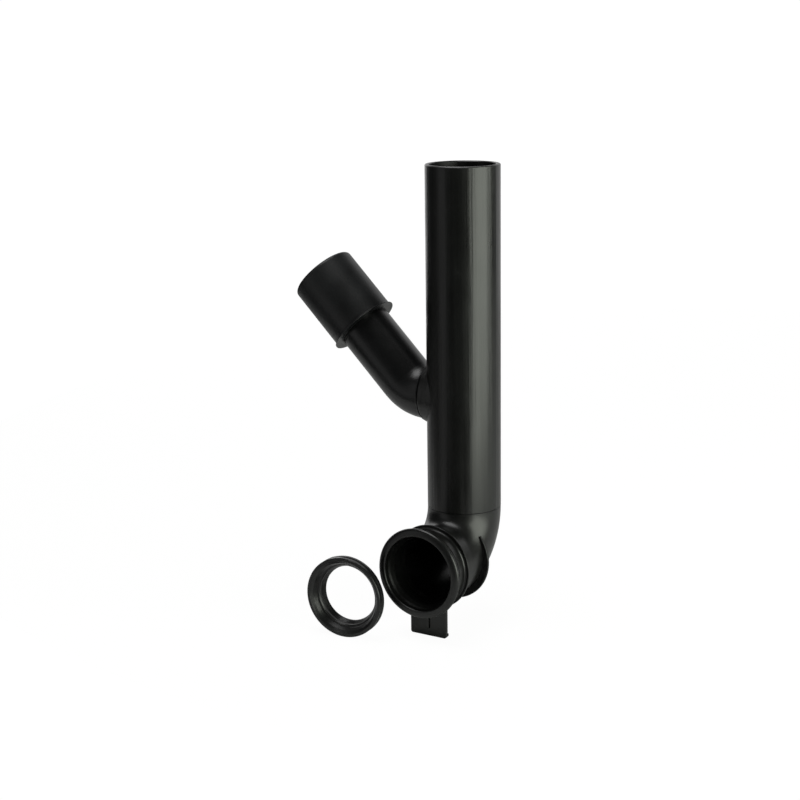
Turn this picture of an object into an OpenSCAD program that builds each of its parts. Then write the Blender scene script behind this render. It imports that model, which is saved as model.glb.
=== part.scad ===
/* [Pipe] */
// Outside diameter of the straight pipe
pipe_od = 56; // [50:0.5:63]
// Wall of the straight pipe and of the elbow
pipe_wall = 3; // [2.2:0.1:4]
// Height of the pipe's top rim above the outlet axis
pipe_top = 296; // [230:1:420]
// Small chamfer round the pipe's top rim
rim_chamfer = 0.6; // [0.2:0.1:1]
// Depth of the shallow groove left at the butt weld
weld_groove = 0.35; // [0.1:0.05:0.8]

/* [Elbow] */
// Bend radius of the elbow, on its centre line
elbow_radius = 36; // [33:1:60]
// Distance from the pipe's axis to the stiffening fin
fin_at = 19; // [12:0.5:26]
// Height of the fin above the elbow's own radius
fin_step = 4.6; // [2:0.1:9]
// Thickness of the stiffening fin
fin_t = 2; // [1:0.1:4]
// Height above the outlet axis where the fin stops
fin_stop = 19.6; // [10:0.1:26]

/* [Outlet socket] */
// Length of the outlet from the end of the bend to the mouth
outlet_l = 34.2; // [33:0.1:50]
// Height of the rolled rim at the mouth above the pipe's radius
bead_step = 6.5; // [5.5:0.1:9]
// Length over which the rim falls back to the neck
bead_l = 13; // [11:0.1:14]
// Width of the rim, from its outer edge to its inner edge
rim_w = 6.2; // [5:0.1:6.6]
// Rounding of the rim's inner edge
rim_round = 1.5; // [1:0.1:2]
// Height of the neck behind the rim above the pipe's radius
neck_step = 1.1; // [0.8:0.1:2]
// Height of the collar above the pipe's radius
collar_step = 4.2; // [3:0.1:6]
// Length from the end of the bend to the collar's front face
collar_l = 13.3; // [10:0.1:14]
// Width of the collar's edge
collar_w = 1.4; // [0.8:0.1:3]
// Length of the funnel inside the mouth
funnel_l = 10.6; // [9:0.1:12]
// How far the socket's bore stays under the pipe's outside radius
socket_wall = 2; // [1.4:0.1:2.6]
// Length of the socket's bore behind the funnel
socket_l = 9.1; // [6:0.1:10]

/* [Fixing tab] */
// Width of the tab under the socket
tab_w = 30.7; // [20:0.1:40]
// Thickness of the tab
tab_t = 2.6; // [1.5:0.1:3.2]
// Length from the end of the bend to the tab's front face
tab_l = 18.6; // [17.5:0.1:20]
// Depth of the tab's lower edge below the outlet axis
tab_low = 52.6; // [46:0.1:70]
// Radius of the tab's lower corners
tab_corner = 1.6; // [0.5:0.1:4]
// Width and depth of the two slots beside the tab's rib
slot_w = 0.6; // [0.4:0.1:1]
// Length of the foot that turns back at the lower edge
foot_l = 4; // [2:0.1:8]
// Thickness of that foot
foot_t = 2; // [1:0.1:3]
// Thickness of the rib that props the tab
gusset_t = 1.8; // [1:0.1:4]
// Depth of that rib's lower end below the outlet axis
gusset_low = 46.6; // [38:0.1:48]
// How far that rib stands out from the tab's front face
gusset_out = 1.2; // [0.6:0.1:2]

/* [Branch] */
// Outside diameter of the branch
branch_od = 41.2; // [36:0.1:43]
// Wall of the branch
branch_wall = 3; // [2:0.1:4]
// Height of the branch where it leaves the pipe
branch_z = 121; // [100:1:200]
// Bend radius of the branch, on its centre line
branch_bend_r = 28.6; // [24:0.1:60]
// Angle that the branch is bent upward
branch_up = 45; // [30:1:75]
// Height of the stub above the branch's own radius
stub_step = 2.4; // [2:0.1:4]
// Height of the weld bead above the branch's own radius
weld_step = 1.5; // [1.3:0.1:3]
// Width of that weld bead
weld_w = 2.1; // [1.9:0.1:4]
// Length of the straight end of the branch after its bend
branch_l = 80.2; // [70:0.1:140]

/* [Sleeve] */
// Wall of the rubber sleeve over the branch
sleeve_wall = 5.3; // [3.4:0.1:9]
// Length of the sleeve
sleeve_l = 54.7; // [45:0.1:90]
// Length of the branch inside the sleeve
sleeve_grip = 26; // [18:0.5:30]
// Height of the thin lip round the sleeve's foot
lip_step = 1.6; // [0.8:0.1:5]
// Thickness of that lip
lip_t = 0.8; // [0.6:0.1:2]
// Rounding of the sleeve's far edge
sleeve_round = 2.6; // [1:0.1:2.8]
// Height of the stop inside the sleeve
stop_step = 2.2; // [1.4:0.1:3]
// Width of that stop
stop_w = 3; // [2:0.1:5]
// Diameter of the free half of the sleeve's bore
sleeve_bore = 40; // [39.6:0.1:41]

/* [Lip seal] */
// How far the seal's edge stays inside the edge of the mouth's rim
seal_under = 3.5; // [2:0.1:6]
// Gap between the seal's nose and the socket's bore
nose_gap = 0.3; // [0.1:0.05:0.8]
// Length of the seal's outer band
seal_l = 7.3; // [6:0.1:10]
// Inside diameter of the seal's lip
throat_d = 42.6; // [38:0.1:45]
// Sideways place of the seal beside the outlet axis
seal_side = 53; // [46:0.5:90]
// Gap between the socket's mouth and the seal's front face
seal_ahead = 19.5; // [15:0.1:60]
// Angle that the seal is turned from the outlet's own direction
seal_turn = 6; // [0:1:30]

/* [Hidden] */
$fn = 96;
pipe_r = pipe_od / 2;
pipe_in = pipe_r - pipe_wall;
weld_z = elbow_radius;
fin_r = pipe_r + fin_step;
mouth_at = elbow_radius + outlet_l;
collar_at = elbow_radius + collar_l;
tab_at = elbow_radius + tab_l;
bead_r = pipe_r + bead_step;
collar_r = pipe_r + collar_step;
neck_r = pipe_r + neck_step;
rim_in = bead_r - rim_w;
socket_r = pipe_r - socket_wall;
socket_at = mouth_at - funnel_l - socket_l;
branch_r = branch_od / 2;
branch_in = branch_r - branch_wall;
stub_at = pipe_r + 0.2;
stub_r = branch_r + stub_step;
weld_r = branch_r + weld_step;
bend_x = stub_at + weld_w;
bend_leg = branch_bend_r * tan(branch_up / 2);
corner_x = bend_x + bend_leg;
sleeve_r = branch_r + sleeve_wall;
lip_r = sleeve_r + lip_step;
stop_r = branch_r - stop_step;
bore_r = sleeve_bore / 2;
seal_r = bead_r - seal_under;
nose_r = socket_r - nose_gap;
throat_r = throat_d / 2;
bend_slim = 0.06;
frame_y = socket_at + socket_l / 2;
over = 1;
black = [0.055, 0.056, 0.055];
black_gloss = [0.045, 0.046, 0.048];
rubber = [0.10, 0.105, 0.108];

// points of a rounded corner in a profile, from angle a to angle b
function round_points(cx, cy, r, a, b, n) =
  [for (i = [0 : n]) [cx + r * cos(a + (b - a) * i / n), cy + r * sin(a + (b - a) * i / n)]];

// The straight pipe with the short stub on its side
module straight_pipe() {
  color(black)
  translate([0, frame_y, 0])
  difference() {
    union() {
      rotate_extrude()
        polygon([
          [0, weld_z],
          [pipe_r - weld_groove, weld_z],
          [pipe_r, weld_z + weld_groove * 1.6],
          [pipe_r, pipe_top - rim_chamfer],
          [pipe_r - rim_chamfer, pipe_top],
          [0, pipe_top]
        ]);
      stub();
    }
    translate([0, 0, weld_z - over])
      cylinder(r = pipe_in, h = pipe_top - weld_z + 2 * over);
    translate([0, 0, branch_z])
      rotate([0, -90, 0])
        cylinder(r = branch_in, h = stub_at + over);
    translate([0, 0, pipe_top - rim_chamfer])
      cylinder(r1 = pipe_in, r2 = pipe_in + rim_chamfer + over, h = rim_chamfer + over);
  }
}

// The stub on the side of the pipe
module stub() {
  translate([0, 0, branch_z])
    rotate([0, -90, 0])
      rotate_extrude()
        polygon([
          [0, 0],
          [stub_r + 0.8, 0],
          [stub_r + 0.8, pipe_r * 0.7],
          [stub_r, stub_at - 1.1],
          [stub_r - 0.3, stub_at - 0.6],
          [stub_r - 1.3, stub_at],
          [0, stub_at]
        ]);
}

// The moulded elbow with its socket, fin and fixing tab
module outlet_elbow() {
  color(black)
  translate([0, frame_y, 0])
  union() {
    elbow_tube();
    socket();
    fin();
    tab();
    foot();
    gusset();
  }
}

// Places a turned shape on the quarter turn from the weld to the outlet
module on_elbow() {
  translate([0, -elbow_radius, elbow_radius])
    rotate([-90, 0, 0])
      rotate([0, -90, 0])
        children();
}

// The tube of the elbow, a quarter turn
module elbow_tube() {
  on_elbow()
    rotate_extrude(angle = 90)
      translate([elbow_radius, 0])
        difference() {
          circle(r = pipe_r - bend_slim);
          circle(r = pipe_in + bend_slim);
        }
}

// The socket, inside and out, turned round the outlet axis
module socket() {
  rotate([90, 0, 0])
    rotate_extrude()
      polygon(concat(
        [
          [pipe_in, elbow_radius - 0.5],
          [pipe_r, elbow_radius - 0.5],
          [pipe_r, collar_at - collar_w - 3.4],
          [pipe_r + 0.5, collar_at - collar_w - 2.2],
          [pipe_r + 1.6, collar_at - collar_w - 1.2],
          [collar_r - 0.4, collar_at - collar_w - 0.4],
          [collar_r, collar_at - collar_w],
          [collar_r, collar_at - 0.3],
          [collar_r - 0.3, collar_at],
          [neck_r + 1.2, collar_at],
          [neck_r + 0.4, collar_at + 0.3],
          [neck_r, collar_at + 1.1],
          [neck_r, mouth_at - bead_l - 1.0],
          [neck_r + 0.1, mouth_at - bead_l + 0.2],
          [neck_r + 0.5, mouth_at - bead_l + 1.5],
          [neck_r + 1.4, mouth_at - bead_l + 3.3],
          [neck_r + 2.7, mouth_at - bead_l + 5.3],
          [bead_r - 1.5, mouth_at - 5.6],
          [bead_r - 0.4, mouth_at - 4.1],
          [bead_r, mouth_at - 3.0],
          [bead_r - 0.1, mouth_at - 2.2],
          [bead_r - 0.6, mouth_at - 1.4],
          [bead_r - 1.5, mouth_at - 0.7],
          [bead_r - 2.8, mouth_at - 0.2],
          [bead_r - 4.1, mouth_at]
        ],
        round_points(rim_in + rim_round, mouth_at - rim_round, rim_round, 90, 172, 8),
        [
          [rim_in + 0.1, mouth_at - 3.1],
          [rim_in - 0.15, mouth_at - 4.6],
          [socket_r + 1.35, mouth_at - funnel_l + 4.3],
          [socket_r + 0.7, mouth_at - funnel_l + 2.4],
          [socket_r + 0.2, mouth_at - funnel_l + 1.0],
          [socket_r, mouth_at - funnel_l],
          [socket_r, socket_at],
          [pipe_in, socket_at - 4]
        ]
      ));
}

// The crescent fin on the outer side of the elbow
module fin() {
  difference() {
    translate([0, -fin_at, 0])
      rotate([90, 0, 0])
        rotate_extrude()
          polygon([
            [0, 0],
            [fin_r - 0.4, 0],
            [fin_r, 0.4],
            [fin_r, fin_t - 0.4],
            [fin_r - 0.4, fin_t],
            [0, fin_t]
          ]);
    translate([-fin_r - over, -fin_at - fin_t - over, fin_stop])
      cube([2 * fin_r + 2 * over, fin_t + 2 * over, fin_r + over]);
    on_elbow()
      rotate_extrude(angle = 90)
        translate([elbow_radius, 0])
          circle(r = pipe_in + pipe_wall * 0.4);
  }
}

// The tab under the socket
module tab() {
  difference() {
    translate([0, -tab_at, 0])
      rotate([-90, 0, 0])
        linear_extrude(height = tab_t)
          polygon(concat(
            [[-tab_w / 2, neck_r * 0.6], [tab_w / 2, neck_r * 0.6]],
            round_points(tab_w / 2 - tab_corner, tab_low - tab_corner, tab_corner, 0, 90, 6),
            round_points(-tab_w / 2 + tab_corner, tab_low - tab_corner, tab_corner, 90, 180, 6)
          ));
    rotate([90, 0, 0])
      cylinder(r = neck_r - 1.5, h = mouth_at);
    tab_slot(gusset_t / 2);
    tab_slot(-gusset_t / 2 - slot_w);
  }
}

// One of the two slots beside the tab's rib
module tab_slot(x) {
  translate([x, -tab_at - over, -gusset_low])
    cube([slot_w, over + slot_w, gusset_low - neck_r - 1]);
}

// The foot that turns back at the tab's lower edge
module foot() {
  translate([-tab_w / 2 + tab_corner, -tab_at + tab_t - 0.5, -tab_low])
    cube([tab_w - 2 * tab_corner, foot_l + 0.5, foot_t]);
}

// The rib that props the tab from the socket
module gusset() {
  translate([-gusset_t / 2, 0, 0])
    rotate([90, 0, 90])
      linear_extrude(height = gusset_t)
        polygon([
          [-tab_at + slot_w + 0.3, -neck_r + 1.2],
          [-tab_at + slot_w + 0.3, -gusset_low],
          [-tab_at - gusset_out + 0.4, -gusset_low],
          [-tab_at - gusset_out, -gusset_low + 0.6],
          [-tab_at - gusset_out, -bead_r - 3],
          [-tab_at - gusset_out - 4, -neck_r + 0.2],
          [-tab_at - gusset_out - 4, -neck_r + 1.2]
        ]);
}

// The branch, welded on and bent upward
module branch_bend() {
  color(black_gloss)
  translate([0, frame_y, 0])
  union() {
    weld_bead();
    branch_turn();
    branch_tail();
  }
}

// The bead left by the weld beside the stub
module weld_bead() {
  translate([-stub_at, 0, branch_z])
    rotate([0, -90, 0])
      rotate_extrude()
        polygon([
          [branch_in, 0],
          [weld_r - 1.2, 0],
          [weld_r - 0.3, 0.5],
          [weld_r, 1.0],
          [weld_r, weld_w - 0.8],
          [weld_r - 0.3, weld_w - 0.4],
          [branch_r - 0.2, weld_w - 0.2],
          [branch_r, weld_w],
          [branch_in, weld_w]
        ]);
}

// The curved part of the branch
module branch_turn() {
  translate([-bend_x, 0, branch_z + branch_bend_r])
    rotate([-90, 0, 0])
      rotate([0, 0, 90])
        rotate_extrude(angle = branch_up)
          translate([branch_bend_r, 0])
            difference() {
              circle(r = branch_r - bend_slim);
              circle(r = branch_in + bend_slim);
            }
}

// Places a shape on the straight end of the branch, from the end of its bend
module on_branch() {
  translate([-corner_x, 0, branch_z])
    rotate([0, -branch_up, 0])
      translate([0, 0, bend_leg])
        children();
}

// The straight end of the branch
module branch_tail() {
  on_branch()
    rotate_extrude()
      polygon([
        [branch_in, -0.5],
        [branch_r, -0.5],
        [branch_r, branch_l - 0.8],
        [branch_r - 0.8, branch_l],
        [branch_in, branch_l]
      ]);
}

// The rubber sleeve pushed on the branch
module branch_sleeve() {
  color(rubber)
  translate([0, frame_y, 0])
  on_branch()
    translate([0, 0, branch_l - sleeve_grip])
      rotate_extrude()
        polygon(concat(
          [
            [branch_r, 0],
            [lip_r - 0.1, 0],
            [lip_r, 0.15],
            [lip_r, lip_t - 0.2],
            [lip_r - 0.2, lip_t - 0.1],
            [sleeve_r + 0.5, lip_t + 0.1],
            [sleeve_r, lip_t + 0.7]
          ],
          round_points(sleeve_r - sleeve_round, sleeve_l - sleeve_round, sleeve_round, 0, 90, 10),
          [
            [bore_r + 1.2, sleeve_l],
            [bore_r, sleeve_l - 1.6],
            [bore_r, sleeve_grip + stop_w + 0.4],
            [bore_r - 0.4, sleeve_grip + stop_w],
            [stop_r, sleeve_grip + stop_w],
            [stop_r, sleeve_grip],
            [branch_r, sleeve_grip]
          ]
        ));
}

// The lip seal, taken out and stood beside the socket
module lip_seal() {
  color(rubber)
  translate([-seal_side, frame_y - mouth_at - seal_ahead, seal_r - tab_low])
    rotate([0, 0, seal_turn])
      rotate([90, 0, 0])
        rotate_extrude()
          polygon([
            [seal_r - 0.5, 0],
            [seal_r, -0.5],
            [seal_r, -2.1],
            [seal_r - 0.6, -2.5],
            [seal_r - 0.6, -4.3],
            [seal_r, -4.7],
            [seal_r, -seal_l + 0.6],
            [seal_r - 0.8, -seal_l],
            [nose_r, -seal_l],
            [nose_r - 0.8, -seal_l - 0.9],
            [throat_r + 1.7, -seal_l - 5.4],
            [throat_r + 0.5, -seal_l - 6.0],
            [throat_r, -seal_l - 5.3],
            [throat_r + 0.1, -seal_l - 4.4],
            [throat_r + 1.9, -seal_l - 0.9],
            [throat_r + 1.9, -seal_l + 0.6],
            [throat_r + 2.6, -seal_l + 1.5],
            [throat_r + 3.2, -seal_l + 1.6],
            [throat_r + 3.6, -4.6],
            [throat_r + 5.2, -1.9],
            [seal_r - 2.9, -0.4],
            [seal_r - 2.5, 0]
          ]);
}

straight_pipe();
outlet_elbow();
branch_bend();
branch_sleeve();
lip_seal();
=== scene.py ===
import bpy
import math
from collections import namedtuple
from mathutils import Euler, Matrix, Vector


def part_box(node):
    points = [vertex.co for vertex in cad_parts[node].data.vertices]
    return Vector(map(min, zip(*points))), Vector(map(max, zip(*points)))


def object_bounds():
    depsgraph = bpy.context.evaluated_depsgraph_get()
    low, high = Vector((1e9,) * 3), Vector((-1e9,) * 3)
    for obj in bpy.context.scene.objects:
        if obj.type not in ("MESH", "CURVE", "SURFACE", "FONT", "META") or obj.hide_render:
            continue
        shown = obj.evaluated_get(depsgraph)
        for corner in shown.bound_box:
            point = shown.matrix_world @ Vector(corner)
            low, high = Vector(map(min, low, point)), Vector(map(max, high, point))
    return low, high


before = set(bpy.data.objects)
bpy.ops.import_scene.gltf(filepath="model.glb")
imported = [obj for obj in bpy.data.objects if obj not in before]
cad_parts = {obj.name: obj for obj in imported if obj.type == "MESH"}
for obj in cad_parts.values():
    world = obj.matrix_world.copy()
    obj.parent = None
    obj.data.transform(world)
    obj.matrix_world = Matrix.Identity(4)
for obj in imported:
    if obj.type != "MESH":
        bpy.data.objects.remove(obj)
cad_box = [list(corner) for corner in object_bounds()]

bpy.context.scene.view_settings.view_transform = "Standard"


# Lengths are in metres, apart from the camera's lens and sensor, which are in millimetres. Colours
# are linear red, green and blue.

# Places that the frame gives: what the tab and the seal stand on, and the axis of the straight pipe
STANDS_AT = cad_box[0][2]
pipe_low, pipe_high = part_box("straight_pipe")
PIPE_Y = (pipe_low[1] + pipe_high[1]) / 2

# Camera, worked out from the outlines in the photograph. Its turn is in degrees: up from looking
# straight down, then the roll, then round the vertical.
CAMERA_LENS = 76.3093
CAMERA_SENSOR = 36.0
CAMERA_PLACE = (0.630239, -1.025744, 0.407139)
CAMERA_TURN = (77.0112, 0.7811, 32.2787)
CAMERA_NEAREST = 0.05
CAMERA_FARTHEST = 60.0

# White table. It lies a hair below the part, and most of it is behind the pipe, so what the pipe
# mirrors in front of the table's edge are the lamps and not the table.
TABLE_RADIUS = 0.85
TABLE_BACK = 0.60
TABLE_SIDES = 96
TABLE_HAIR = 0.0002
TABLE_COLOUR = (0.80, 0.80, 0.80)
TABLE_GLOW = 1.06
TABLE_GLOW_SHARE = 0.9

# Room: what the camera sees past the part, and what lights and is mirrored in it
WHITE = (1.0, 1.0, 1.0)
BACKDROP_LEVEL = 1.02
ROOM_LEVEL = 0.04

# Lamps: the height that they face, and the colour of the key lamp
FACED_HEIGHT = 0.12
KEY_TINT = (0.95, 1.0, 0.89)

# How strongly rubs and bloom show over the plain colour
RUBS_SHOW = 0.35
BLOOM_SHOWS = 0.5

# Refractive index of each stuff, which sets how strongly it mirrors
PLASTIC_IOR = 1.51
RUBBER_IOR = 1.5

# The colours of a stuff, from its darkest to its worn or bloomed spots
Tones = namedtuple("Tones", "dark pale worn")

PIPE_TONES = Tones(
    dark=(0.0036, 0.0038, 0.0036), pale=(0.0084, 0.0088, 0.0084), worn=(0.020, 0.021, 0.020))
ELBOW_TONES = Tones(
    dark=(0.0042, 0.0044, 0.0042), pale=(0.0072, 0.0075, 0.0072), worn=(0.016, 0.017, 0.016))
BRANCH_TONES = Tones(
    dark=(0.0030, 0.0031, 0.0033), pale=(0.0050, 0.0052, 0.0055), worn=(0.011, 0.0115, 0.012))
SLEEVE_TONES = Tones(
    dark=(0.0050, 0.0054, 0.0058), pale=(0.0085, 0.0091, 0.0098), worn=(0.013, 0.0140, 0.0152))
SEAL_TONES = Tones(
    dark=(0.0058, 0.0061, 0.0062), pale=(0.0095, 0.0099, 0.0100), worn=(0.016, 0.0166, 0.0168))

# Sockets of Blender's Mix node when it mixes colours
MIX_SHARE = 0
MIX_FIRST = 6
MIX_SECOND = 7
MIX_COLOUR = 2


# Shader maths written as plain expressions

class Value:
    """The number that comes out of a shader node. It can be added to and multiplied."""

    def __init__(self, paint, socket):
        self.paint = paint
        self.socket = socket

    def maths(self, operation, other):
        return self.paint.node("ShaderNodeMath", {"operation": operation}, [self, other])

    def __add__(self, other):
        return self.maths("ADD", other)

    def __mul__(self, other):
        return self.maths("MULTIPLY", other)


class Paint:
    """The shader nodes of one material or world. Each new node is joined to the values given to it."""

    def __init__(self, tree):
        self.tree = tree
        self.tree.nodes.clear()

    def node(self, kind, settings=None, values=(), output=0):
        made = self.tree.nodes.new(kind)
        for name, setting in (settings or {}).items():
            setattr(made, name, setting)
        pairs = values.items() if isinstance(values, dict) else enumerate(values)
        for name, value in pairs:
            if isinstance(value, Value):
                self.tree.links.new(value.socket, made.inputs[name])
            else:
                made.inputs[name].default_value = value
        return Value(self, made.outputs[output]) if made.outputs else None

    def place(self, stretch=(1.0, 1.0, 1.0)):
        where = self.node("ShaderNodeTexCoord", output="Object")
        return self.node("ShaderNodeMapping", values={"Vector": where, "Scale": stretch})

    def noise(self, where, scale=1.0, detail=3.0, roughness=0.5):
        return self.node("ShaderNodeTexNoise", values={
            "Vector": where, "Scale": scale, "Detail": detail, "Roughness": roughness,
        })

    def between(self, value, low, high, to=(0.0, 1.0)):
        return self.node("ShaderNodeMapRange", {"clamp": True}, {
            "Value": value, "From Min": low, "From Max": high, "To Min": to[0], "To Max": to[1],
        })

    def mixed(self, share, first, second):
        return self.node("ShaderNodeMix", {"data_type": "RGBA"}, {
            MIX_SHARE: share, MIX_FIRST: first, MIX_SECOND: second,
        }, output=MIX_COLOUR)

    def bump(self, height, strength, distance):
        return self.node("ShaderNodeBump", values={
            "Strength": strength, "Distance": distance, "Height": height,
        })

    def rubs(self, where, scale, roughness):
        """Small worn spots: only the peaks of a fine noise."""
        return self.between(self.noise(where, scale, detail=6.0, roughness=roughness), low=0.60, high=0.72)

    def coloured(self, tones, shade, worn):
        """From the dark tone to the pale one by the shade, with the worn tone over them."""
        plain = self.mixed(shade, opaque(tones.dark), opaque(tones.pale))
        return self.mixed(worn, plain, opaque(tones.worn))

    def finish(self, colour, roughness, relief, ior):
        surface = self.node("ShaderNodeBsdfPrincipled", values={
            "Base Color": colour, "Roughness": roughness, "Normal": relief, "IOR": ior,
        })
        self.node("ShaderNodeOutputMaterial", values={"Surface": surface})


def opaque(colour):
    return (*colour, 1.0)


def weighed(patterns, **shares):
    """The named patterns added up, each times its share."""
    parts = [patterns[name] * share for name, share in shares.items()]
    total = parts[0]
    for part in parts[1:]:
        total = total + part
    return total


def new_material(name):
    material = bpy.data.materials.new(name)
    material.use_nodes = True
    return material, Paint(material.node_tree)


# Finishes. A noise's scale is about its number of spots in a metre, and rough is the roughness of
# the shiniest and of the dullest spots.

def extruded_plastic(name, tones, rough):
    """Black pipe plastic with faint lines along the pipe, a light bloom and small rubs."""
    material, paint = new_material(name)
    even = paint.place()
    patterns = {
        "lines": paint.noise(paint.place(stretch=(330.0, 330.0, 7.0)), detail=4.0, roughness=0.55),
        "bands": paint.noise(paint.place(stretch=(90.0, 90.0, 2.2)), detail=2.0),
        "cloud": paint.noise(even, scale=26.0, detail=4.0, roughness=0.6),
        "grain": paint.noise(even, scale=1500.0, detail=2.0),
        "rubs": paint.rubs(even, scale=70.0, roughness=0.7),
    }
    shade = paint.between(weighed(patterns, cloud=0.4, bands=0.25, lines=0.35), low=0.38, high=0.62)
    dull = weighed(patterns, cloud=0.4, lines=0.45, rubs=0.2)
    height = weighed(patterns, lines=1.0, bands=1.8, grain=0.12)
    paint.finish(
        colour=paint.coloured(tones, shade, patterns["rubs"] * RUBS_SHOW),
        roughness=paint.between(dull, low=0.28, high=0.62, to=rough),
        relief=paint.bump(height, strength=0.9, distance=0.00022),
        ior=PLASTIC_IOR,
    )
    return material


def moulded_plastic(name, tones, rough):
    """Black moulded plastic: smooth, a little uneven, with a fine bloom."""
    material, paint = new_material(name)
    even = paint.place()
    patterns = {
        "cloud": paint.noise(even, scale=38.0, detail=4.0, roughness=0.6),
        "swell": paint.noise(even, scale=85.0, detail=2.0, roughness=0.4),
        "grain": paint.noise(even, scale=1700.0, detail=2.0),
        "rubs": paint.rubs(even, scale=95.0, roughness=0.72),
    }
    shade = paint.between(patterns["cloud"], low=0.35, high=0.65)
    dull = weighed(patterns, cloud=0.7, rubs=0.3)
    height = weighed(patterns, swell=1.2, grain=0.3)
    paint.finish(
        colour=paint.coloured(tones, shade, patterns["rubs"] * RUBS_SHOW),
        roughness=paint.between(dull, low=0.25, high=0.8, to=rough),
        relief=paint.bump(height, strength=0.5, distance=0.00010),
        ior=PLASTIC_IOR,
    )
    return material


def soft_rubber(name, tones, rough, skin_scale):
    """Black rubber: a softer shine, a slight bloom and a fine skin."""
    material, paint = new_material(name)
    even = paint.place()
    bloom = paint.noise(even, scale=22.0, detail=3.0, roughness=0.55)
    patterns = {
        "cloud": paint.noise(even, scale=55.0, detail=5.0, roughness=0.6),
        "bloom": paint.between(bloom, low=0.42, high=0.66),
        "skin": paint.noise(even, scale=skin_scale, detail=3.0, roughness=0.6),
    }
    shade = paint.between(patterns["cloud"], low=0.35, high=0.68)
    dull = weighed(patterns, cloud=0.6, bloom=0.4)
    height = weighed(patterns, skin=0.5, cloud=1.0)
    paint.finish(
        colour=paint.coloured(tones, shade, patterns["bloom"] * BLOOM_SHOWS),
        roughness=paint.between(dull, low=0.2, high=0.8, to=rough),
        relief=paint.bump(height, strength=0.5, distance=0.00009),
        ior=RUBBER_IOR,
    )
    return material


def dress(node, material):
    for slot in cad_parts[node].material_slots:
        slot.material = material


def dress_part():
    dress("straight_pipe", extruded_plastic("pipe_plastic", PIPE_TONES, rough=(0.26, 0.40)))
    dress("outlet_elbow", moulded_plastic("elbow_plastic", ELBOW_TONES, rough=(0.29, 0.40)))
    dress("branch_bend", moulded_plastic("branch_plastic", BRANCH_TONES, rough=(0.28, 0.40)))
    dress("branch_sleeve", soft_rubber("sleeve_rubber", SLEEVE_TONES, rough=(0.36, 0.48), skin_scale=900.0))
    dress("lip_seal", soft_rubber("seal_rubber", SEAL_TONES, rough=(0.27, 0.40), skin_scale=1100.0))


# Camera, stage and light

def place_camera():
    data = bpy.data.cameras.new("photo_camera")
    data.lens = CAMERA_LENS
    data.sensor_width = CAMERA_SENSOR
    data.clip_start = CAMERA_NEAREST
    data.clip_end = CAMERA_FARTHEST
    camera = bpy.data.objects.new("photo_camera", data)
    bpy.context.scene.collection.objects.link(camera)
    turn = Euler([math.radians(angle) for angle in CAMERA_TURN])
    camera.matrix_world = Matrix.Translation(CAMERA_PLACE) @ turn.to_matrix().to_4x4()
    bpy.context.scene.camera = camera


def set_stage():
    """A small white table that keeps the part's shadow."""
    bpy.ops.mesh.primitive_circle_add(
        vertices=TABLE_SIDES, radius=TABLE_RADIUS, fill_type="NGON",
        location=(0.0, PIPE_Y + TABLE_BACK, STANDS_AT - TABLE_HAIR),
    )
    table = bpy.context.active_object
    table.name = "white_table"
    material, paint = new_material("white_table")
    seen = paint.node("ShaderNodeLightPath", output="Is Camera Ray")
    plain = paint.node("ShaderNodeBsdfDiffuse", values={"Color": opaque(TABLE_COLOUR)})
    glow = paint.node("ShaderNodeEmission", values={"Color": opaque(WHITE), "Strength": TABLE_GLOW})
    surface = paint.node("ShaderNodeMixShader", values=[seen * TABLE_GLOW_SHARE, plain, glow])
    paint.node("ShaderNodeOutputMaterial", values={"Surface": surface})
    table.data.materials.append(material)


def set_world():
    """White where the camera looks past the part, and a dim room for everything else."""
    world = bpy.data.worlds.new("studio")
    world.use_nodes = True
    bpy.context.scene.world = world
    paint = Paint(world.node_tree)
    seen = paint.node("ShaderNodeLightPath", output="Is Camera Ray")
    level = seen * (BACKDROP_LEVEL - ROOM_LEVEL) + ROOM_LEVEL
    background = paint.node("ShaderNodeBackground", values={"Color": opaque(WHITE), "Strength": level})
    paint.node("ShaderNodeOutputWorld", values={"Surface": background})


def soft_light(name, azimuth, distance, height, size, radiance, colour=WHITE):
    """A soft box that faces the pipe. Azimuth 0 is in front of the mouth, and 90 on the right."""
    width, tall = size
    data = bpy.data.lights.new(name, "AREA")
    data.shape = "RECTANGLE"
    data.size = width
    data.size_y = tall
    data.energy = radiance * math.pi * width * tall
    data.color = colour
    lamp = bpy.data.objects.new(name, data)
    bpy.context.scene.collection.objects.link(lamp)
    lamp.visible_camera = False
    turn = math.radians(azimuth)
    lamp.location = (distance * math.sin(turn), PIPE_Y - distance * math.cos(turn), height)
    faced = Vector((0.0, PIPE_Y, FACED_HEIGHT))
    lamp.rotation_euler = (faced - lamp.location).to_track_quat("-Z", "Y").to_euler()


def set_lights():
    """The boxes that make the photograph's highlights, and two more that light the back."""
    soft_light("key_box", azimuth=86.0, distance=1.25, height=0.05, size=(1.35, 1.5), radiance=4.1,
               colour=KEY_TINT)
    soft_light("fill_box", azimuth=-36.0, distance=1.6, height=0.35, size=(0.75, 1.8), radiance=0.36)
    soft_light("back_paper", azimuth=188.0, distance=1.5, height=0.30, size=(2.4, 2.0), radiance=0.7)
    soft_light("rear_box", azimuth=234.0, distance=1.6, height=0.30, size=(0.8, 1.8), radiance=1.1)
    soft_light("top_box", azimuth=-50.0, distance=0.30, height=1.55, size=(0.9, 0.9), radiance=3.6)


place_camera()
set_stage()
set_world()
set_lights()
dress_part()
